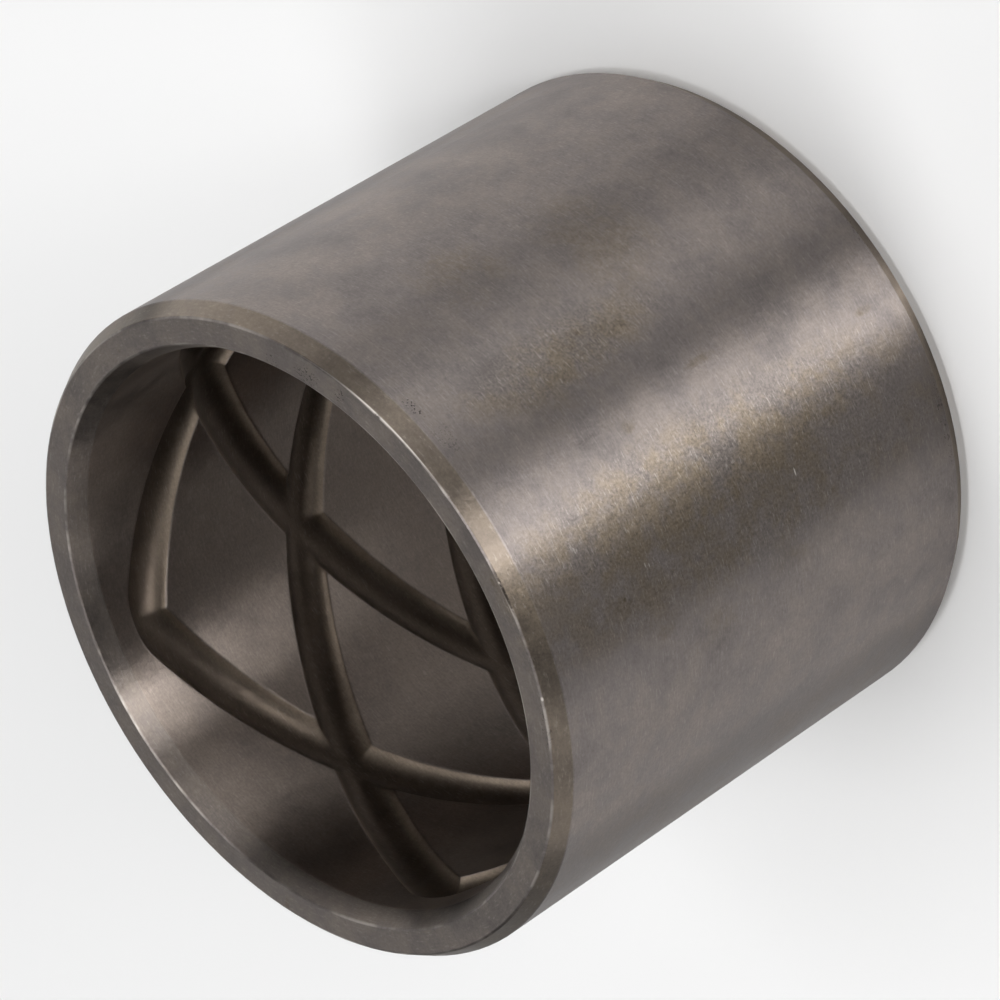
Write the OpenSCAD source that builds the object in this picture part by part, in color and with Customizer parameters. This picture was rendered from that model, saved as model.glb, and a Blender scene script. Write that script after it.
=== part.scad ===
// Steel pin bushing with crossed grease grooves in the bore, turned in one piece.
// Millimetres. It stands on one end: z = 0 is the lower end face and +Z is the bushing's axis.

/* [Body] */
// Bore diameter, the running fit on the pin
bore_d = 90; // [70:0.5:130]
// Wall thickness. It sets the outside diameter, the press fit in the lug.
wall = 7.5; // [6:0.25:15]
// Overall length
length = 90; // [84:1:160]

/* [End chamfers] */
// Length of the outside lead-in along the axis
lead_len = 2.8; // [1:0.1:4]
// Angle of the outside lead-in to the axis
lead_angle = 30; // [15:1:45]
// Length of the bore's lead-in along the axis
mouth_len = 2.9; // [1:0.1:4]
// Angle of the bore's lead-in to the axis
mouth_angle = 30; // [15:1:45]
// Flat taken off each sharp rim by deburring
rim_break = 0.2; // [0.1:0.05:0.4]

/* [Grease grooves] */
// Closed zigzag grooves, spread evenly round the bore
groove_count = 4; // [1:1:4]
// Radius of the groove's section
groove_radius = 4; // [3:0.25:6]
// Groove depth below the bore
groove_depth = 2.5; // [1.5:0.1:3]
// Distance from the upper end face to the centreline's upper turns
groove_start = 9.1; // [8:0.1:14]
// Axial travel from the upper turns to the lower turns
groove_travel = 68.2; // [40:0.1:70]
// Reach of a groove's outer side beyond the centreline at a turn
turn_reach = 2.4; // [1.5:0.1:3]

/* [Hidden] */
bore_r = bore_d / 2;
outer_r = bore_r + wall;
lead_in = lead_len * tan(lead_angle);
mouth_in = mouth_len * tan(mouth_angle);

// Facets round the turned body
round_steps = 180;

// The groove's section is an arc. It runs on past the bore's wall by this share of the angle
// that is left to a half circle, so the cut has clean rims.
overrun = 0.4;
rim_angle = acos((groove_radius - groove_depth) / groove_radius);
groove_half = groove_radius * sin(rim_angle);
over_angle = rim_angle + (90 - rim_angle) * overrun;
section_steps = 12;

// One leg climbs groove_travel over half a turn of the bore.
rise = groove_travel / (PI * bore_r);
side = groove_half * sqrt(1 + rise * rise);
turn_span = sqrt(side * side - turn_reach * turn_reach) / rise;
turn_rise = rise * turn_span / turn_reach;
turn_len = sqrt(1 + turn_rise * turn_rise);

// Angle of a turn's rounding round the bore, with a margin for its run into the leg
turn_margin = 1.1;
turn_angle = turn_margin * turn_span * turn_rise / turn_len / bore_r * 180 / PI;

// Stations along a leg, in degrees from its upper turn: close together at the turns
turn_steps = 6;
leg_steps = 36;
near = [for (i = [0 : turn_steps - 1]) turn_angle * i / turn_steps];
middle = [for (i = [0 : leg_steps]) turn_angle + (180 - 2 * turn_angle) * i / leg_steps];
far = [for (i = [turn_steps - 1 : -1 : 0]) 180 - turn_angle * i / turn_steps];
leg = concat(near, middle, far);
loop = concat(leg, [for (i = [len(leg) - 2 : -1 : 1]) 360 - leg[i]]);

// Depth below the upper end of a point of the groove. e is its distance across the groove,
// in half widths: negative on the side of the upper turns, positive on the side of the lower ones.
function along(t) = bore_r * min(t, 360 - t) * PI / 180;
function from_far(t) = PI * bore_r - along(t);
function before(x, e) = x / turn_span < e * turn_rise / turn_len
    ? -turn_reach * sqrt(e * e - pow(x / turn_span, 2))
    : rise * x - e * side;
function level(t, e) = e < 0
    ? groove_start + before(along(t), -e)
    : groove_start + groove_travel - before(from_far(t), e);

// One cross-section of the groove at station t
function ring(t) = [for (i = [0 : section_steps])
    let (a = over_angle * (2 * i / section_steps - 1),
         r = bore_r + groove_depth - groove_radius * (1 - cos(a)),
         e = groove_radius * sin(a) / groove_half)
    [r * cos(t), r * sin(t), length - level(t, e)]];

// The plain bushing as it comes off the lathe, with its lead-ins and deburred rims
module body() {
    rotate_extrude($fn = round_steps)
        polygon([
            [bore_r, mouth_len],
            [bore_r + mouth_in - rim_break * tan(mouth_angle), rim_break],
            [bore_r + mouth_in + rim_break, 0],
            [outer_r - lead_in - rim_break, 0],
            [outer_r - lead_in + rim_break * tan(lead_angle), rim_break],
            [outer_r, lead_len],
            [outer_r, length - lead_len],
            [outer_r - lead_in + rim_break * tan(lead_angle), length - rim_break],
            [outer_r - lead_in - rim_break, length],
            [bore_r + mouth_in + rim_break, length],
            [bore_r + mouth_in - rim_break * tan(mouth_angle), length - rim_break],
            [bore_r, length - mouth_len]
        ]);
}

// One closed groove: down one leg from an upper turn, and back up the other
module groove() {
    n = section_steps + 1;
    m = len(loop);
    polyhedron(
        points = [for (t = loop) each ring(t)],
        faces = [for (k = [0 : m - 1], i = [0 : n - 1], h = [0, 1])
            let (p = k * n + i,
                 q = k * n + (i + 1) % n,
                 u = ((k + 1) % m) * n + i,
                 v = ((k + 1) % m) * n + (i + 1) % n)
            h == 0 ? [p, v, q] : [p, u, v]],
        convexity = 8);
}

module bushing() {
    color([0.55, 0.53, 0.5])
        difference() {
            body();
            for (i = [0 : groove_count - 1])
                rotate([0, 0, i * 360 / groove_count])
                    groove();
        }
}

bushing();
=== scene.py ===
"""Ground steel pin bushing: its finish, and the floor, lamps and camera around it.

The scene is in metres. The finish is worked out in millimetres.
"""

import math

import bpy
from bpy.props import FloatProperty, FloatVectorProperty, PointerProperty
from mathutils import Matrix, Vector


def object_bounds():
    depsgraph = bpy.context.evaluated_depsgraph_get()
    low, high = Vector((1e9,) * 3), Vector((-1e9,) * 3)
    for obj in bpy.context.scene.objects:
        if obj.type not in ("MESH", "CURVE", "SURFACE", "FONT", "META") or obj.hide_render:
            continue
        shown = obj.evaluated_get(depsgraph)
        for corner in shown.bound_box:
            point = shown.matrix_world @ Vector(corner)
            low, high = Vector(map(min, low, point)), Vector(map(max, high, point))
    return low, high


bl_info = {
    "name": "Pin Bushing",
    "version": (1, 0, 0),
    "blender": (4, 5, 0),
    "location": "View3D > Sidebar > Bushing",
    "description": "Ground steel for a grooved pin bushing, with its studio",
    "category": "Material",
}

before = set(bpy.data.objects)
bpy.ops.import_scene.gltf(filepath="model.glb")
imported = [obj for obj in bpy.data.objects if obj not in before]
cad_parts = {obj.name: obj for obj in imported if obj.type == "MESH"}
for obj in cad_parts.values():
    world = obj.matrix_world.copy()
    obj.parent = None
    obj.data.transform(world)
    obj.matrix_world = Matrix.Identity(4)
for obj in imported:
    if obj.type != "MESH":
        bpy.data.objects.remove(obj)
CAD_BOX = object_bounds()
MM = 1000.0

# The sizes of the turned body that the finish follows, in millimetres
LENGTH = (CAD_BOX[1][2] - CAD_BOX[0][2]) * MM
OUTER_R = (CAD_BOX[1][0] - CAD_BOX[0][0]) / 2 * MM
BORE_R = 45.0
LEAD_IN = 1.62
MOUTH_LEN = 2.9
MOUTH_IN = 1.67


# ---------------------------------------------------------------- settings


def colour(name, description, default):
    return FloatVectorProperty(
        name=name, description=description, default=default, size=3, min=0, max=1, subtype="COLOR"
    )


def share(name, description, default):
    return FloatProperty(
        name=name, description=description, default=default, min=0, max=1, subtype="FACTOR"
    )


class SteelSettings(bpy.types.PropertyGroup):
    steel: colour("Steel", "Ground steel", (0.184, 0.163, 0.157))
    honed: colour("Honed steel", "Steel of the honed bore", (0.286, 0.241, 0.215))
    turned: colour("Turned steel", "Turned chamfers", (0.150, 0.125, 0.104))
    faced: colour("Faced steel", "Flat ring of the end faces", (0.160, 0.142, 0.134))
    # This brown also paints shade along the outer wall's dark band.
    stain_and_shade: colour("Stain", "Brown film and smudges on the ground steel", (0.190, 0.154, 0.114))
    dirt: colour("Dirt", "Dirt in the pits and nicks", (0.035, 0.029, 0.025))
    groove: colour("Groove", "Milled walls of the grease grooves", (0.310, 0.250, 0.196))
    # This dark colour darkens the groove floors: painted shade in the recess, with old oil
    # residue.
    grease_and_shade: colour("Old grease", "Grease left in the floor of the grooves", (0.062, 0.048, 0.039))
    # This bright colour also paints a highlight along one arc of the lead rim.
    bright: colour("Bright edge", "Steel rubbed bright, on rims and in flecks", (0.62, 0.58, 0.53))
    ground_roughness: share("Ground roughness", "Roughness of the ground outside and bore", 0.38)
    groove_roughness: share("Groove roughness", "Roughness of the milled grooves", 0.36)
    draw: share("Grinding draw", "How far grinding draws the shine out along the axis", 1.0)


class StageSettings(bpy.types.PropertyGroup):
    floor: colour("Floor", "Pale floor", (0.86, 0.86, 0.86))


# ---------------------------------------------------------------- nodes

# Where a Mix node of each kind keeps its two values and its result
MIX_SOCKETS = {"VECTOR": (4, 5, 1), "RGBA": (6, 7, 2)}

# The share of a spot's half size within which it keeps its full strength
SPOT_CORE = 0.3


class Bench:
    """Lays nodes in a material's tree and hands back their sockets."""

    def __init__(self, tree):
        self.tree = tree
        tree.nodes.clear()

    def node(self, kind, **settings):
        made = self.tree.nodes.new(kind)
        for key, value in settings.items():
            setattr(made, key, value)
        return made

    def feed(self, socket, value):
        if isinstance(value, bpy.types.NodeSocket):
            self.tree.links.new(value, socket)
        elif socket.type == "RGBA" and len(value) == 3:
            socket.default_value = (*value, 1)
        else:
            socket.default_value = value

    def filled(self, made, values):
        """Feeds the values to a node's sockets in their order."""
        for socket, value in zip(made.inputs, values):
            self.feed(socket, value)
        return made

    def math(self, operation, *values, clamp=False):
        made = self.node("ShaderNodeMath", operation=operation, use_clamp=clamp)
        return self.filled(made, values).outputs[0]

    def add(self, *values):
        total = values[0]
        for value in values[1:]:
            total = self.math("ADD", total, value)
        return total

    def times(self, *values):
        total = values[0]
        for value in values[1:]:
            total = self.math("MULTIPLY", total, value)
        return total

    def around_one(self, value, swing):
        """A factor that swings round 1 as a noise swings round its middle."""
        return self.math("MULTIPLY_ADD", value, swing, 1 - swing / 2)

    def around_zero(self, value, swing):
        """An amount that swings round 0 in the same way."""
        return self.times(self.math("SUBTRACT", value, 0.5), swing)

    def vector(self, operation, *values):
        made = self.node("ShaderNodeVectorMath", operation=operation)
        return self.filled(made, values).outputs["Value" if operation == "LENGTH" else "Vector"]

    def scaled(self, vector, factor):
        made = self.node("ShaderNodeVectorMath", operation="SCALE")
        self.feed(made.inputs[0], vector)
        self.feed(made.inputs["Scale"], factor)
        return made.outputs["Vector"]

    def joined(self, *values):
        return self.filled(self.node("ShaderNodeCombineXYZ"), values).outputs[0]

    def step(self, value, low, high, top=1.0):
        """0 below low, top above high, smooth between. It falls where high is below low."""
        made = self.node("ShaderNodeMapRange", interpolation_type="SMOOTHSTEP")
        given = (value, low, high, 0.0, top) if low < high else (value, high, low, top, 0.0)
        return self.filled(made, given).outputs[0]

    def noise(self, vector, scale, detail, roughness):
        made = self.node("ShaderNodeTexNoise")
        given = {"Vector": vector, "Scale": scale, "Detail": detail, "Roughness": roughness}
        for name, value in given.items():
            self.feed(made.inputs[name], value)
        return made.outputs["Fac"]

    def blend(self, amount, first, second, kind="RGBA"):
        made = self.node("ShaderNodeMix", data_type=kind)
        first_at, second_at, result_at = MIX_SOCKETS[kind]
        self.feed(made.inputs[0], amount)
        self.feed(made.inputs[first_at], first)
        self.feed(made.inputs[second_at], second)
        return made.outputs[result_at]

    def spot(self, around, centre, size, strength):
        """A soft spot. Centre and half size are outwards, round the outside and along the axis."""
        shift = tuple(-at / half for at, half in zip(centre, size))
        away = self.vector("MULTIPLY_ADD", around, tuple(1 / half for half in size), shift)
        return self.step(self.vector("LENGTH", away), 1.0, SPOT_CORE, strength)


# ---------------------------------------------------------------- steel

# Marks on the steel: azimuth, radius, height, half size outwards, round and along, strength
SMUDGES = (
    (-56.0, 52.5, 55.0, 3.0, 3.4, 8.0, 0.45),
    (-56.5, 52.5, 48.0, 2.0, 1.5, 1.2, 0.55),
    (-34.6, 52.5, 61.3, 3.0, 9.5, 10.0, 0.27),
    (-41.0, 52.5, 39.0, 3.0, 12.5, 12.0, 0.27),
    (-93.5, 52.5, 72.0, 1.0, 0.45, 0.4, 0.95),
    (-94.3, 52.5, 71.0, 1.0, 0.3, 0.3, 0.6),
    (-71.0, 52.5, 58.5, 2.0, 1.3, 1.6, 0.40),
    (-68.0, 52.5, 41.0, 2.0, 0.9, 4.0, 0.30),
    (-75.0, 52.5, 10.0, 2.0, 0.9, 2.4, 0.45),
    (-78.0, 52.5, 48.0, 3.0, 4.6, 2.6, 0.30),
    (-102.0, 52.5, 66.0, 2.0, 1.6, 2.4, 0.25),
    (-103.0, 52.5, 40.0, 3.0, 3.0, 5.6, 0.25),
    (-107.0, 52.5, 56.0, 3.0, 4.5, 6.0, 0.20),
    (-48.0, 52.5, 42.0, 5.0, 9.0, 6.5, 0.20),
    (-60.0, 52.5, 66.0, 5.0, 6.0, 9.0, 0.18),
    (-80.5, 49.6, 90.0, 0.45, 1.0, 1.0, 0.55),
    (150.0, 49.5, 90.0, 1.5, 0.7, 1.0, 0.5),
    (16.0, 48.4, 90.0, 0.6, 0.8, 1.0, 0.3),
)
# The third row is painted shade: a darker brown sheet along the whole length, where the outer wall
# reflects a dark band below its highlight.
FILMS_AND_PAINTED_SHADE = (
    (-84.0, 52.5, 50.0, 9.0, 14.0, 70.0, 0.9),
    (-56.0, 52.5, 60.0, 9.0, 8.0, 30.0, 0.75),
    (-93.0, 52.5, 45.0, 9.0, 11.0, 80.0, 0.7),
)
PITTED = (
    (-51.0, 52.4, 85.9, 2.0, 3.2, 1.1, 1.0),
    (-40.5, 48.8, 90.0, 1.6, 1.7, 1.0, 1.0),
    (-33.0, 48.2, 90.0, 2.0, 4.0, 1.0, 0.8),
    (-25.0, 47.6, 90.0, 1.4, 2.4, 1.0, 1.0),
    (-106.0, 50.6, 90.0, 1.6, 6.0, 1.2, 0.5),
    (-58.0, 52.4, 85.0, 2.0, 5.0, 3.0, 0.4),
    (-64.0, 52.4, 2.5, 2.0, 9.0, 1.4, 0.6),
    (-97.0, 52.4, 3.5, 2.0, 12.0, 1.4, 0.6),
)
RUBBED_AND_HIGHLIT = (
    # The first row is a painted highlight over rubbed steel: the lead rim made bright along the
    # arc where it catches the lamps.
    (-47.0, 50.9, 90.0, 0.20, 19.0, 0.3, 1.0),
    (-101.0, 50.9, 90.0, 0.3, 0.5, 0.35, 1.0),
    (-91.0, 52.5, 34.5, 0.5, 0.9, 0.14, 0.9),
    (-90.5, 52.5, 66.5, 0.5, 0.55, 0.13, 0.6),
    (-90.9, 52.5, 65.8, 0.5, 0.45, 0.12, 0.5),
)
NICKED = (
    (-82.0, 50.9, 90.0, 0.3, 5.0, 0.45, 1.0),
    (-48.5, 50.8, 90.0, 0.3, 0.9, 0.4, 0.45),
)

# Where each mask starts and where it is full, in millimetres: by radius, then by the distance
# from the nearer end
LEAD_EDGE = OUTER_R - LEAD_IN
MOUTH_EDGE = BORE_R + MOUTH_IN
BY_RADIUS = {
    "inside": (BORE_R + 3.0, BORE_R + 2.7),
    "mouth": (MOUTH_EDGE + 0.02, MOUTH_EDGE - 0.1),
    "groove": (BORE_R + 0.02, BORE_R + 0.14),
    "groove_floor": (BORE_R + 0.3, BORE_R + 2.2),
    "past_face": (LEAD_EDGE + 0.02, LEAD_EDGE + 0.1),
    "under_outside": (OUTER_R - 0.06, OUTER_R - 0.16),
    "lead_rim": (LEAD_EDGE - 0.35, LEAD_EDGE - 0.1),
    "mouth_rim": (MOUTH_EDGE + 0.35, MOUTH_EDGE + 0.1),
}
BY_DEPTH = {
    "past_mouth": (MOUTH_LEN - 0.02, MOUTH_LEN + 0.06),
    "near_face": (0.35, 0.05),
}

# Noises on the steel: scale to a millimetre, detail and roughness
NOISES = {
    "grain": (2.4, 2, 0.6),
    "waves": (0.36, 2, 0.6),
    "cloud": (0.05, 2, 0.6),
    "patch": (0.1, 3, 0.68),
    "mottle": (0.3, 2, 0.75),
    "rust": (0.9, 2, 0.7),
}

# Tool marks: length and width in millimetres, feed across a face to a millimetre of radius,
# and the noise that makes them
STREAK_LENGTH = 1.5
STREAK_WIDTH = 0.24
FACE_FEED = 0.6
STREAK_NOISE = (1.0, 2, 0.65)

# How the patches' noise is made up from a coarse and a finer one
PATCH_SHARE = 0.6
MOTTLE_SHARE = 0.4

# Patterns cut from the noises: the noise, where the pattern starts and where it is full
PATTERNS = {
    "clouded": ("cloud", 0.3, 0.7),
    "patchy": ("spread", 0.40, 0.60),
    "ragged": ("rust", 0.3, 0.7),
    "broken": ("spread", 0.38, 0.6),
    "flecks": ("streaks", 0.60, 0.70),
    "pits": ("grain", 0.56, 0.61),
    "nicks": ("rust", 0.35, 0.5),
    "shine": ("patch", 0.45, 0.6),
}

# Amounts that grow with another one: how fast, and what there is without it
STAIN_BY_PATCH = (0.75, 0.25)
SPECKLE_BY_FILM = (1.3, 0.2)
FLECKS_BY_FILM = (0.25, 0.02)

# Strengths of the marks
THIN_FILM = 0.22
STAIN_SWING = 0.5
SMUDGE_SWING = 0.9
PIT_STRENGTH = 0.85
RIM_STRENGTH = 0.35

# Colours: what clouds and smudges are multiplied by, and how much of two others shows
CLOUD_TINT = 1.05
SMUDGE_TINT = 0.7
MOUTH_COVER = 0.45
# Painted shade: how far the groove floors are darkened, over old oil residue.
GREASE_AND_SHADE_COVER = 0.8

# What the noises give: swings of brightness, heights in millimetres and swings of roughness
TONES = {"streaks": 0.42, "cloud": 0.3, "spread": 1.1}
HEIGHTS = {"streaks": 0.010, "grain": 0.012, "waves": 0.035}
ROUGHNESSES = {"streaks": 0.10, "spread": 0.16, "cloud": 0.10}

# Roughness that each of these adds
STAIN_ROUGHNESS = 0.12
DIRT_ROUGHNESS = 0.3
RUBBED_ROUGHNESS = -0.08

# Radius of the rounded edges, and what the bore and the groove floors add to it, in millimetres
EDGE_ROUNDING = 0.2
BORE_ROUNDING = 0.5
FLOOR_ROUNDING = 0.8
BEVEL_SAMPLES = 3

# A quarter turn of the shine, so that it is drawn out across the tool marks
QUARTER_TURN = 0.25


def marked(b, around, table):
    """The strongest of a table's marks at each place."""
    total = None
    for azimuth, radius, height, out, along_ring, along_axis, strength in table:
        centre = (radius, math.radians(azimuth) * OUTER_R, height)
        mark = b.spot(around, centre, (out, along_ring, along_axis), strength)
        total = mark if total is None else b.math("MAXIMUM", total, mark)
    return total


def surface_masks(b, radius, height):
    """Which surface a place is on, from its radius and its distance from the nearer end."""
    from_middle = b.math("ABSOLUTE", b.math("SUBTRACT", height, LENGTH / 2))
    depth = b.math("SUBTRACT", LENGTH / 2, from_middle)
    at = {name: b.step(radius, *edge) for name, edge in BY_RADIUS.items()}
    at |= {name: b.step(depth, *edge) for name, edge in BY_DEPTH.items()}
    bore = b.times(at["inside"], at["past_mouth"])
    lead_rim = b.times(at["near_face"], at["lead_rim"])
    mouth_rim = b.times(at["near_face"], at["mouth_rim"])
    rims = b.math("MAXIMUM", lead_rim, mouth_rim)
    return {
        "bore": bore,
        "mouth": b.times(at["mouth"], b.math("SUBTRACT", 1, at["past_mouth"])),
        "groove": b.times(at["groove"], bore),
        "groove_floor": b.times(at["groove_floor"], bore),
        "lead": b.times(at["past_face"], at["under_outside"]),
        "rims": rims,
        "plain_face": b.math("SUBTRACT", at["near_face"], rims, clamp=True),
    }


def steel_noises(b, place, ring, radius, height):
    """The noises. The streaks are tool marks: they run round the axis and are fine across it."""
    made = {name: b.noise(place, *given) for name, given in NOISES.items()}
    lift = b.joined(0, 0, b.add(height, b.times(radius, FACE_FEED)))
    round_axis = b.scaled(ring, OUTER_R / STREAK_LENGTH)
    across = b.scaled(lift, 1 / STREAK_WIDTH)
    made["streaks"] = b.noise(b.vector("ADD", round_axis, across), *STREAK_NOISE)
    made["spread"] = b.add(
        b.times(made["patch"], PATCH_SHARE), b.times(made["mottle"], MOTTLE_SHARE)
    )
    return made


def steel_wear(b, around, masks, noises):
    """What lies on the steel or has rubbed it, each from 0 to 1, with painted shade along the
    outer wall's dark band and a painted highlight on one arc of the lead rim.
    """
    cut = {name: b.step(noises[noise], *edge) for name, (noise, *edge) in PATTERNS.items()}
    # Brown films, and painted shade along the outer wall's dark band.
    film_and_shade = b.math("MAXIMUM", marked(b, around, FILMS_AND_PAINTED_SHADE), THIN_FILM)
    patchy = b.math("MULTIPLY_ADD", cut["patchy"], *STAIN_BY_PATCH)
    ragged = b.around_one(cut["ragged"], SMUDGE_SWING)
    broken = b.around_one(cut["broken"], SMUDGE_SWING)
    pits = b.times(marked(b, around, PITTED), cut["pits"], PIT_STRENGTH)
    nicks = b.times(marked(b, around, NICKED), cut["nicks"])
    shine = b.times(masks["rims"], cut["shine"], RIM_STRENGTH)
    return {
        "clouded": cut["clouded"],
        "speckle": b.math("MULTIPLY_ADD", film_and_shade, *SPECKLE_BY_FILM),
        "flecks": b.times(cut["flecks"], b.math("MULTIPLY_ADD", film_and_shade, *FLECKS_BY_FILM)),
        "stained_and_shaded": b.times(patchy, b.around_one(noises["rust"], STAIN_SWING), film_and_shade),
        "smudged": b.times(marked(b, around, SMUDGES), ragged, broken),
        "nicks": nicks,
        "dirty": b.math("MAXIMUM", pits, nicks),
        # Rubbed rims and flecks, with a painted highlight on one arc of the lead rim.
        "rubbed": b.math("MAXIMUM", marked(b, around, RUBBED_AND_HIGHLIT), shine),
    }


def steel_tone(b, settings, masks, noises, wear):
    """Colour of the steel, from the clean metal to the marks on it, with painted shade in the
    groove floors and along the outer wall's dark band, and a painted highlight on one arc of the
    lead rim.
    """
    clouds = [part * CLOUD_TINT for part in settings.steel]
    smudge = [part * SMUDGE_TINT for part in settings.stain_and_shade]
    tone = b.blend(wear["clouded"], settings.steel, clouds)
    for amount, over in (
        (masks["bore"], settings.honed),
        (masks["lead"], settings.turned),
        (b.times(masks["mouth"], MOUTH_COVER), settings.turned),
        (masks["plain_face"], settings.faced),
        # Brown stains, and painted shade along the outer wall's dark band.
        (wear["stained_and_shaded"], settings.stain_and_shade),
        (wear["smudged"], smudge),
        (masks["groove"], settings.groove),
        # Painted shade in the recessed groove floors, over old oil residue.
        (b.times(masks["groove_floor"], GREASE_AND_SHADE_COVER), settings.grease_and_shade),
    ):
        tone = b.blend(amount, tone, over)
    speckled = b.add(1, b.around_zero(noises["grain"], wear["speckle"]))
    swings = (b.around_one(noises[name], swing) for name, swing in TONES.items())
    tone = b.scaled(tone, b.times(speckled, *swings))
    tone = b.blend(wear["flecks"], tone, settings.bright)
    tone = b.blend(wear["dirty"], tone, settings.dirt)
    # Steel made bright where rubbed, with a painted highlight on one arc of the lead rim.
    shining = b.math("SUBTRACT", wear["rubbed"], wear["nicks"], clamp=True)
    return b.blend(shining, tone, settings.bright)


def steel_roughness(b, settings, masks, noises, wear):
    groove_change = settings.groove_roughness - settings.ground_roughness
    return b.add(
        settings.ground_roughness,
        b.times(masks["groove"], groove_change),
        *(b.around_zero(noises[name], swing) for name, swing in ROUGHNESSES.items()),
        b.times(b.math("MAXIMUM", wear["stained_and_shaded"], wear["smudged"]), STAIN_ROUGHNESS),
        b.times(wear["dirty"], DIRT_ROUGHNESS),
        b.times(wear["rubbed"], RUBBED_ROUGHNESS),
    )


def steel_normal(b, masks, noises):
    """Rounded edges and groove floors, with the fine relief over them."""
    rounding = b.add(
        EDGE_ROUNDING,
        b.times(masks["bore"], BORE_ROUNDING),
        b.times(masks["groove_floor"], FLOOR_ROUNDING),
    )
    bevel = b.node("ShaderNodeBevel", samples=BEVEL_SAMPLES)
    b.feed(bevel.inputs["Radius"], b.times(rounding, 1 / MM))
    relief = b.add(*(b.times(noises[name], height) for name, height in HEIGHTS.items()))
    bump = b.node("ShaderNodeBump")
    bump.inputs["Strength"].default_value = 1.0
    bump.inputs["Distance"].default_value = 1 / MM
    b.feed(bump.inputs["Height"], relief)
    b.feed(bump.inputs["Normal"], bevel.outputs[0])
    return bump.outputs[0]


def grinding_way(b, place, masks):
    """Grinding runs round the axis. In the grooves and on the end faces it runs every way."""
    tangent = b.node("ShaderNodeTangent", direction_type="RADIAL", axis="Z")
    scratch = b.node("ShaderNodeTexWhiteNoise", noise_dimensions="3D")
    b.feed(scratch.inputs["Vector"], place)
    any_way = b.vector("SUBTRACT", scratch.outputs["Color"], (0.5, 0.5, 0.5))
    scratched = b.math("MAXIMUM", masks["groove"], masks["plain_face"])
    return b.blend(scratched, tangent.outputs[0], any_way, kind="VECTOR")


def steel_material(settings):
    made = bpy.data.materials.new("ground_steel")
    made.use_nodes = True
    b = Bench(made.node_tree)
    place = b.scaled(b.node("ShaderNodeTexCoord").outputs["Object"], MM)
    split = b.node("ShaderNodeSeparateXYZ")
    b.feed(split.inputs[0], place)
    height = split.outputs["Z"]
    flat = b.vector("MULTIPLY", place, (1, 1, 0))
    radius = b.vector("LENGTH", flat)
    ring = b.vector("NORMALIZE", flat)
    turn = b.math("ARCTAN2", split.outputs["Y"], split.outputs["X"])
    around = b.joined(radius, b.times(turn, OUTER_R), height)

    masks = surface_masks(b, radius, height)
    noises = steel_noises(b, place, ring, radius, height)
    wear = steel_wear(b, around, masks, noises)

    shader = b.node("ShaderNodeBsdfPrincipled")
    shader.inputs["Metallic"].default_value = 1
    shader.inputs["Anisotropic"].default_value = settings.draw
    shader.inputs["Anisotropic Rotation"].default_value = QUARTER_TURN
    b.feed(shader.inputs["Base Color"], steel_tone(b, settings, masks, noises, wear))
    b.feed(shader.inputs["Roughness"], steel_roughness(b, settings, masks, noises, wear))
    b.feed(shader.inputs["Tangent"], grinding_way(b, place, masks))
    b.feed(shader.inputs["Normal"], steel_normal(b, masks, noises))
    out = b.node("ShaderNodeOutputMaterial")
    b.feed(out.inputs["Surface"], shader.outputs[0])
    return made


class BUSHING_OT_finish(bpy.types.Operator):
    """Gives the bushing its ground steel"""

    bl_idname = "bushing.finish"
    bl_label = "Finish the Bushing"

    def execute(self, context):
        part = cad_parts["bushing"]
        steel = steel_material(context.scene.bushing_steel)
        for slot in part.material_slots:
            slot.material = steel
        return {"FINISHED"}


# ---------------------------------------------------------------- studio

# Half the floor's side in metres, and the faint light from all around
FLOOR_HALF = 3.0
WORLD_COLOUR = (0.01, 0.01, 0.01, 1)

# Softboxes: azimuth and elevation from the bushing, width and height, and brightness
LAMP_DISTANCE = 1.5
LAMPS = (
    ("strip", 277.5, 10.25, 0.19, 0.30, 25.5),
    ("strip_side", 288.75, 10.25, 0.39, 0.30, 7.4),
    ("strip_low", 282.5, 2.4, 0.40, 0.11, 17.2),
    ("front", 280, 25.5, 0.63, 0.50, 6.3),
    ("right", 321, 10.25, 0.68, 0.30, 4.5),
    ("right_low", 335, 2.4, 1.09, 0.11, 7.6),
    ("back_low", 25, 2.4, 1.73, 0.11, 18.0),
    ("back_left_low", 76, 2.4, 0.85, 0.11, 7.0),
    ("back", 105, 25.5, 0.99, 0.50, 1.05),
    ("back_high", 75, 45.5, 0.89, 0.56, 1.45),
    ("left_low", 210, 2.4, 1.40, 0.11, 8.6),
    ("left", 202.5, 10.25, 1.47, 0.30, 1.35),
    ("left_high", 142, 45.5, 0.56, 0.56, 2.2),
    ("over_left", 180, 68, 0.30, 0.64, 7.6),
    ("over_right", 0, 68, 0.30, 0.64, 6.8),
    ("top", 0, 90, 0.53, 0.53, 8.9),
)

# The camera is rolled, because the upright bushing's axis lies across the picture
LENS = 203.8
SENSOR_WIDTH = 36
CAMERA_AZIMUTH = -71.548
CAMERA_ELEVATION = 36.974
CAMERA_ROLL = -121.937
CAMERA_DISTANCE = 0.84034
CAMERA_AIM = (0.001313, 0.000219, 0.044724)


def way_to(azimuth, elevation):
    """The direction outwards at an azimuth and an elevation in degrees."""
    a, e = math.radians(azimuth), math.radians(elevation)
    return Vector((math.cos(e) * math.cos(a), math.cos(e) * math.sin(a), math.sin(e)))


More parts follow.
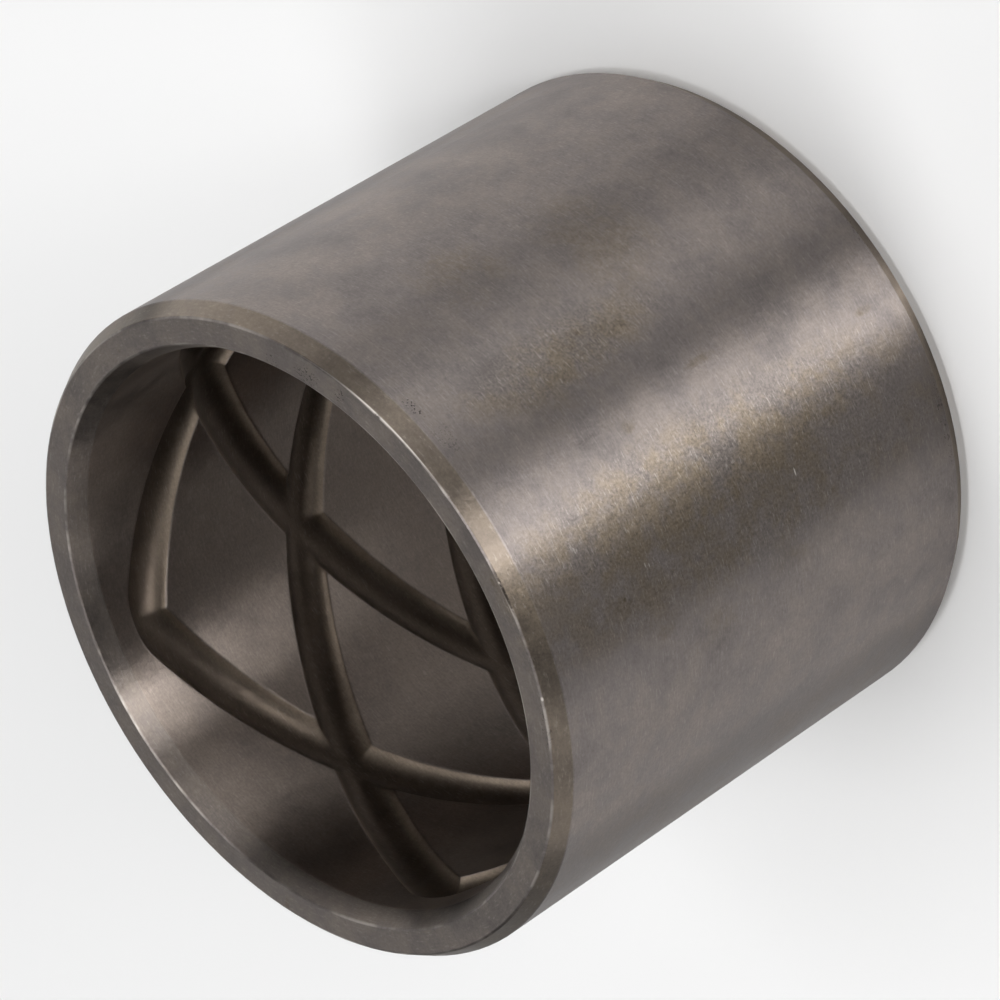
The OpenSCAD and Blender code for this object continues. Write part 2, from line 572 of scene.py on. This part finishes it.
def add_floor(scene):
    half = FLOOR_HALF
    mesh = bpy.data.meshes.new("floor")
    corners = [(-half, -half, 0), (half, -half, 0), (half, half, 0), (-half, half, 0)]
    mesh.from_pydata(corners, [], [(0, 1, 2, 3)])
    floor = bpy.data.objects.new("floor", mesh)
    scene.collection.objects.link(floor)
    paint = bpy.data.materials.new("pale_floor")
    paint.use_nodes = True
    b = Bench(paint.node_tree)
    shader = b.node("ShaderNodeBsdfDiffuse")
    b.feed(shader.inputs["Color"], scene.bushing_stage.floor)
    out = b.node("ShaderNodeOutputMaterial")
    b.feed(out.inputs["Surface"], shader.outputs[0])
    mesh.materials.append(paint)


def add_world(scene):
    world = bpy.data.worlds.new("studio")
    scene.world = world
    world.use_nodes = True
    world.node_tree.nodes["Background"].inputs["Color"].default_value = WORLD_COLOUR


def add_lamp(scene, name, azimuth, elevation, width, height, brightness):
    data = bpy.data.lights.new(name, "AREA")
    data.shape = "RECTANGLE"
    data.size, data.size_y = width, height
    data.energy = math.pi * width * height * brightness
    lamp = bpy.data.objects.new(name, data)
    way = way_to(azimuth, elevation)
    lamp.location = Vector((0, 0, LENGTH / 2 / MM)) + way * LAMP_DISTANCE
    lamp.rotation_euler = way.to_track_quat("Z", "Y").to_euler()
    scene.collection.objects.link(lamp)


def add_camera(scene):
    data = bpy.data.cameras.new("camera")
    data.lens = LENS
    data.sensor_width = SENSOR_WIDTH
    camera = bpy.data.objects.new("camera", data)
    way = way_to(CAMERA_AZIMUTH, CAMERA_ELEVATION)
    roll = Matrix.Rotation(math.radians(CAMERA_ROLL), 4, "Z")
    turn = way.to_track_quat("Z", "Y").to_matrix().to_4x4() @ roll
    camera.matrix_world = Matrix.Translation(Vector(CAMERA_AIM) + way * CAMERA_DISTANCE) @ turn
    scene.collection.objects.link(camera)
    scene.camera = camera


class BUSHING_OT_studio(bpy.types.Operator):
    """Sets out the floor, the lamps and the camera"""

    bl_idname = "bushing.studio"
    bl_label = "Set Out the Studio"

    def execute(self, context):
        scene = context.scene
        add_floor(scene)
        add_world(scene)
        for lamp in LAMPS:
            add_lamp(scene, *lamp)
        add_camera(scene)
        scene.view_settings.view_transform = "Standard"
        return {"FINISHED"}


# ---------------------------------------------------------------- panel


class BUSHING_PT_panel(bpy.types.Panel):
    """Lists the steps that dress the bushing"""

    bl_idname = "BUSHING_PT_panel"
    bl_label = "Pin Bushing"
    bl_space_type = "VIEW_3D"
    bl_region_type = "UI"
    bl_category = "Bushing"

    def draw(self, context):
        column = self.layout.column()
        column.operator("bushing.finish")
        column.operator("bushing.studio")


CLASSES = (SteelSettings, StageSettings, BUSHING_OT_finish, BUSHING_OT_studio, BUSHING_PT_panel)


def register():
    for cls in CLASSES:
        bpy.utils.register_class(cls)
    bpy.types.Scene.bushing_steel = PointerProperty(type=SteelSettings)
    bpy.types.Scene.bushing_stage = PointerProperty(type=StageSettings)


def unregister():
    del bpy.types.Scene.bushing_stage
    del bpy.types.Scene.bushing_steel
    for cls in reversed(CLASSES):
        bpy.utils.unregister_class(cls)


def main():
    register()
    bpy.ops.bushing.finish()
    bpy.ops.bushing.studio()


if __name__ == "__main__":
    main()
